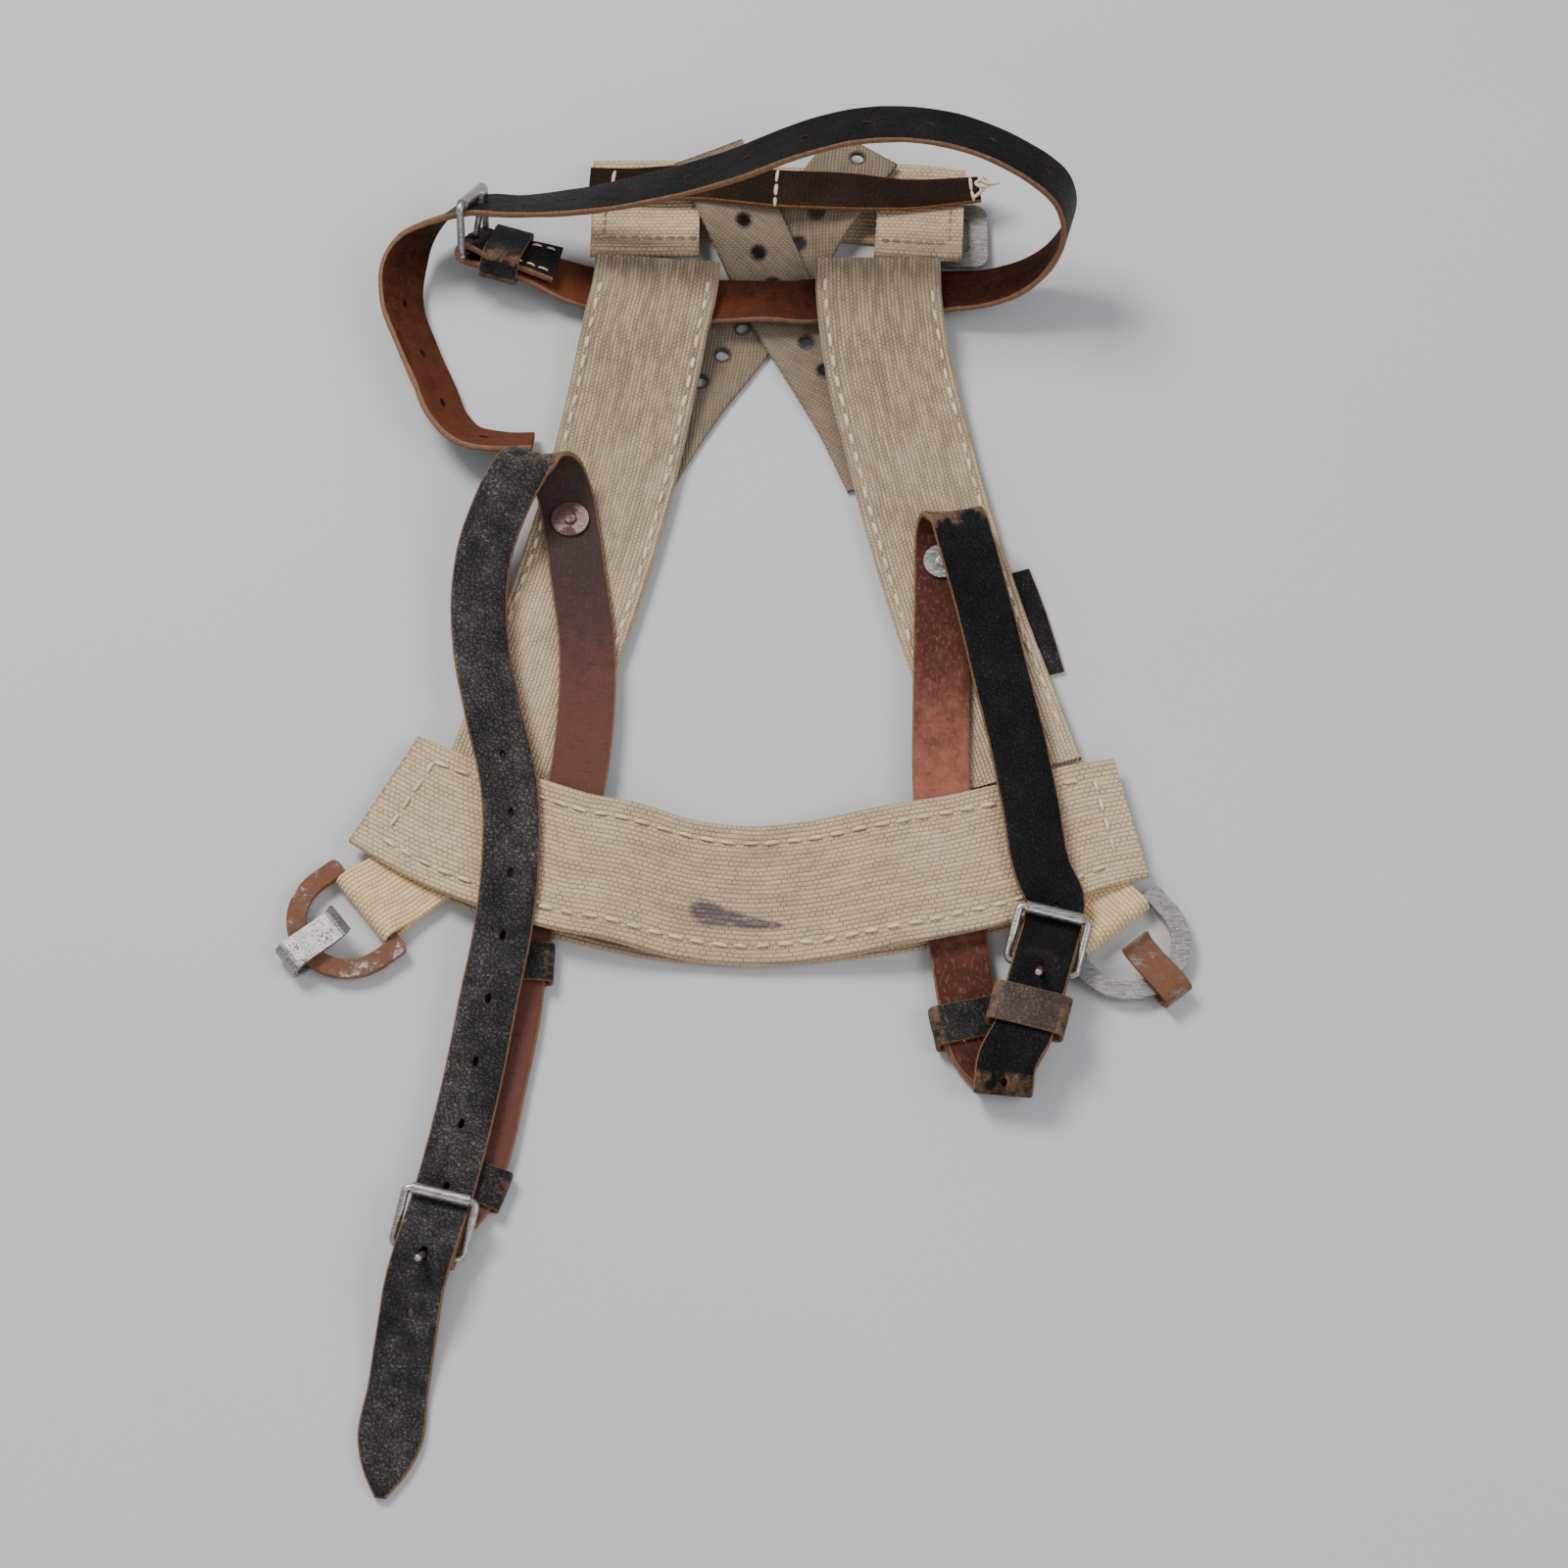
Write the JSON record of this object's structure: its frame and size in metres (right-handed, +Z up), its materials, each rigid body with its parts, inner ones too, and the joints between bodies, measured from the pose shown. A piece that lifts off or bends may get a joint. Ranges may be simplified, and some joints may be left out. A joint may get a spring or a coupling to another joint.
{
  "type": "pack carrying frame",
  "caption": "Webbing A-frame pack carrier with buckled leather strap loops, perforated cross straps and hooked D-rings, laid flat.",
  "frame": {"origin": "centre of the outline's bottom face, on the table the frame lies on", "axes": "+Y runs from the bottom band to the top band, +Z is up from the table through the front side, +X is to the right as seen from above"},
  "size_m": [0.3114, 0.5189, 0.073],
  "materials": {
    "webbing_vertical": "coarse vertical rib weave, dusty",
    "webbing_band": "doubled heavy rib weave with a folded edge",
    "webbing_cross": "fine twill tape with punched eyelets",
    "webbing_tab": "coarse yellowed weave",
    "leather_brown": "old brown leather with a flesh side",
    "leather_black": "black grain leather, worn",
    "leather_keeper": "worn black leather loop",
    "steel_worn": "worn bright steel with pits",
    "steel_rusty": "brown rust patina"
  },
  "bodies": {
    "carrier": {"backslash_cross_strap": "webbing_cross", "bottom_band_back": "webbing_band", "bottom_band_front": "webbing_band", "coat_buckle_frame": "steel_worn", "coat_strap": "leather_brown", "left_buckle_frame": "steel_worn", "left_leg_webbing": "webbing_vertical", "left_ring_tab": "webbing_tab", "left_rivet": "steel_worn", "left_rivet_washers": "steel_rusty", "left_side_strap": "leather_brown", "left_stitched_keeper": "leather_keeper", "rear_leather_tab": "leather_black", "rear_ring_plate": "steel_worn", "right_buckle_frame": "steel_worn", "right_leg_webbing": "webbing_vertical", "right_ring_tab": "webbing_tab", "right_rivet": "steel_worn", "right_rivet_washers": "steel_worn", "right_side_strap": "leather_black", "right_tip_keeper": "leather_keeper", "slash_cross_strap": "webbing_cross", "top_band_back": "webbing_band", "top_band_left": "webbing_band", "top_band_right": "webbing_band", "top_stud": "steel_worn", "tunnel_strip": "leather_brown"},
    "left_ring_body": {"left_ring": "steel_rusty", "left_hook": "steel_rusty"},
    "right_ring_body": {"right_ring": "steel_worn", "right_hook": "steel_worn"},
    "left_roller_body": {"left_buckle_roller": "steel_worn"},
    "right_roller_body": {"right_buckle_roller": "steel_worn"},
    "coat_roller_body": {"coat_buckle_roller": "steel_worn"},
    "left_tongue_body": {"left_buckle_tongue": "steel_worn"},
    "right_tongue_body": {"right_buckle_tongue": "steel_worn"},
    "coat_tongue_body": {"coat_buckle_tongue": "steel_worn"},
    "left_keeper_body": {"left_buckle_keeper": "leather_keeper"},
    "right_keeper_body": {"right_buckle_keeper": "leather_keeper"},
    "coat_keeper_body": {"coat_keeper": "leather_keeper"}
  },
  "joints": [
    {"name": "left_ring_swing", "type": "hinge", "parent": "carrier", "child": "left_ring_body", "pos_m": [-0.1248, -0.0542, 0.004], "axis": [-0.6198, 0.7848, 0], "range_deg": [-60, 75]},
    {"name": "right_ring_swing", "type": "hinge", "parent": "carrier", "child": "right_ring_body", "pos_m": [0.1292, -0.061, 0.004], "axis": [-0.7794, -0.6265, 0], "range_deg": [-60, 30]},
    {"name": "left_roller_spin", "type": "hinge", "parent": "carrier", "child": "left_roller_body", "pos_m": [-0.0954, -0.16077, 0.01205], "axis": [0.9703, -0.2421, 0], "continuous": true},
    {"name": "right_roller_spin", "type": "hinge", "parent": "carrier", "child": "right_roller_body", "pos_m": [0.10888, -0.06177, 0.01548], "axis": [0.9659, -0.259, 0], "continuous": true},
    {"name": "coat_roller_spin", "type": "hinge", "parent": "carrier", "child": "coat_roller_body", "pos_m": [-0.0971, 0.21942, 0.02603], "axis": [0.3021, 0.7542, -0.5831], "continuous": true},
    {"name": "left_tongue_swing", "type": "hinge", "parent": "carrier", "child": "left_tongue_body", "pos_m": [-0.0998, -0.1784, 0.0065], "axis": [0.9703, -0.2421, 0], "range_deg": [-8, 8]},
    {"name": "right_tongue_swing", "type": "hinge", "parent": "carrier", "child": "right_tongue_body", "pos_m": [0.1041, -0.0796, 0.011], "axis": [0.9659, -0.259, 0], "range_deg": [-8, 8]},
    {"name": "coat_tongue_swing", "type": "hinge", "parent": "carrier", "child": "coat_tongue_body", "pos_m": [-0.0971, 0.2078, 0.011], "axis": [0.3021, 0.7542, -0.5831], "range_deg": [-1, 3]},
    {"name": "left_keeper_slide", "type": "slide", "parent": "carrier", "child": "left_keeper_body", "axis": [0.3401, 0.9404, 0], "range_m": [0, 0.004]},
    {"name": "right_keeper_slide", "type": "slide", "parent": "carrier", "child": "right_keeper_body", "axis": [-0.2599, -0.9656, 0], "range_m": [0, 0.006]},
    {"name": "coat_keeper_slide", "type": "slide", "parent": "carrier", "child": "coat_keeper_body", "axis": [0.9621, -0.2606, -0.0802], "range_m": [-0.0005, 0.003]}
  ]
}
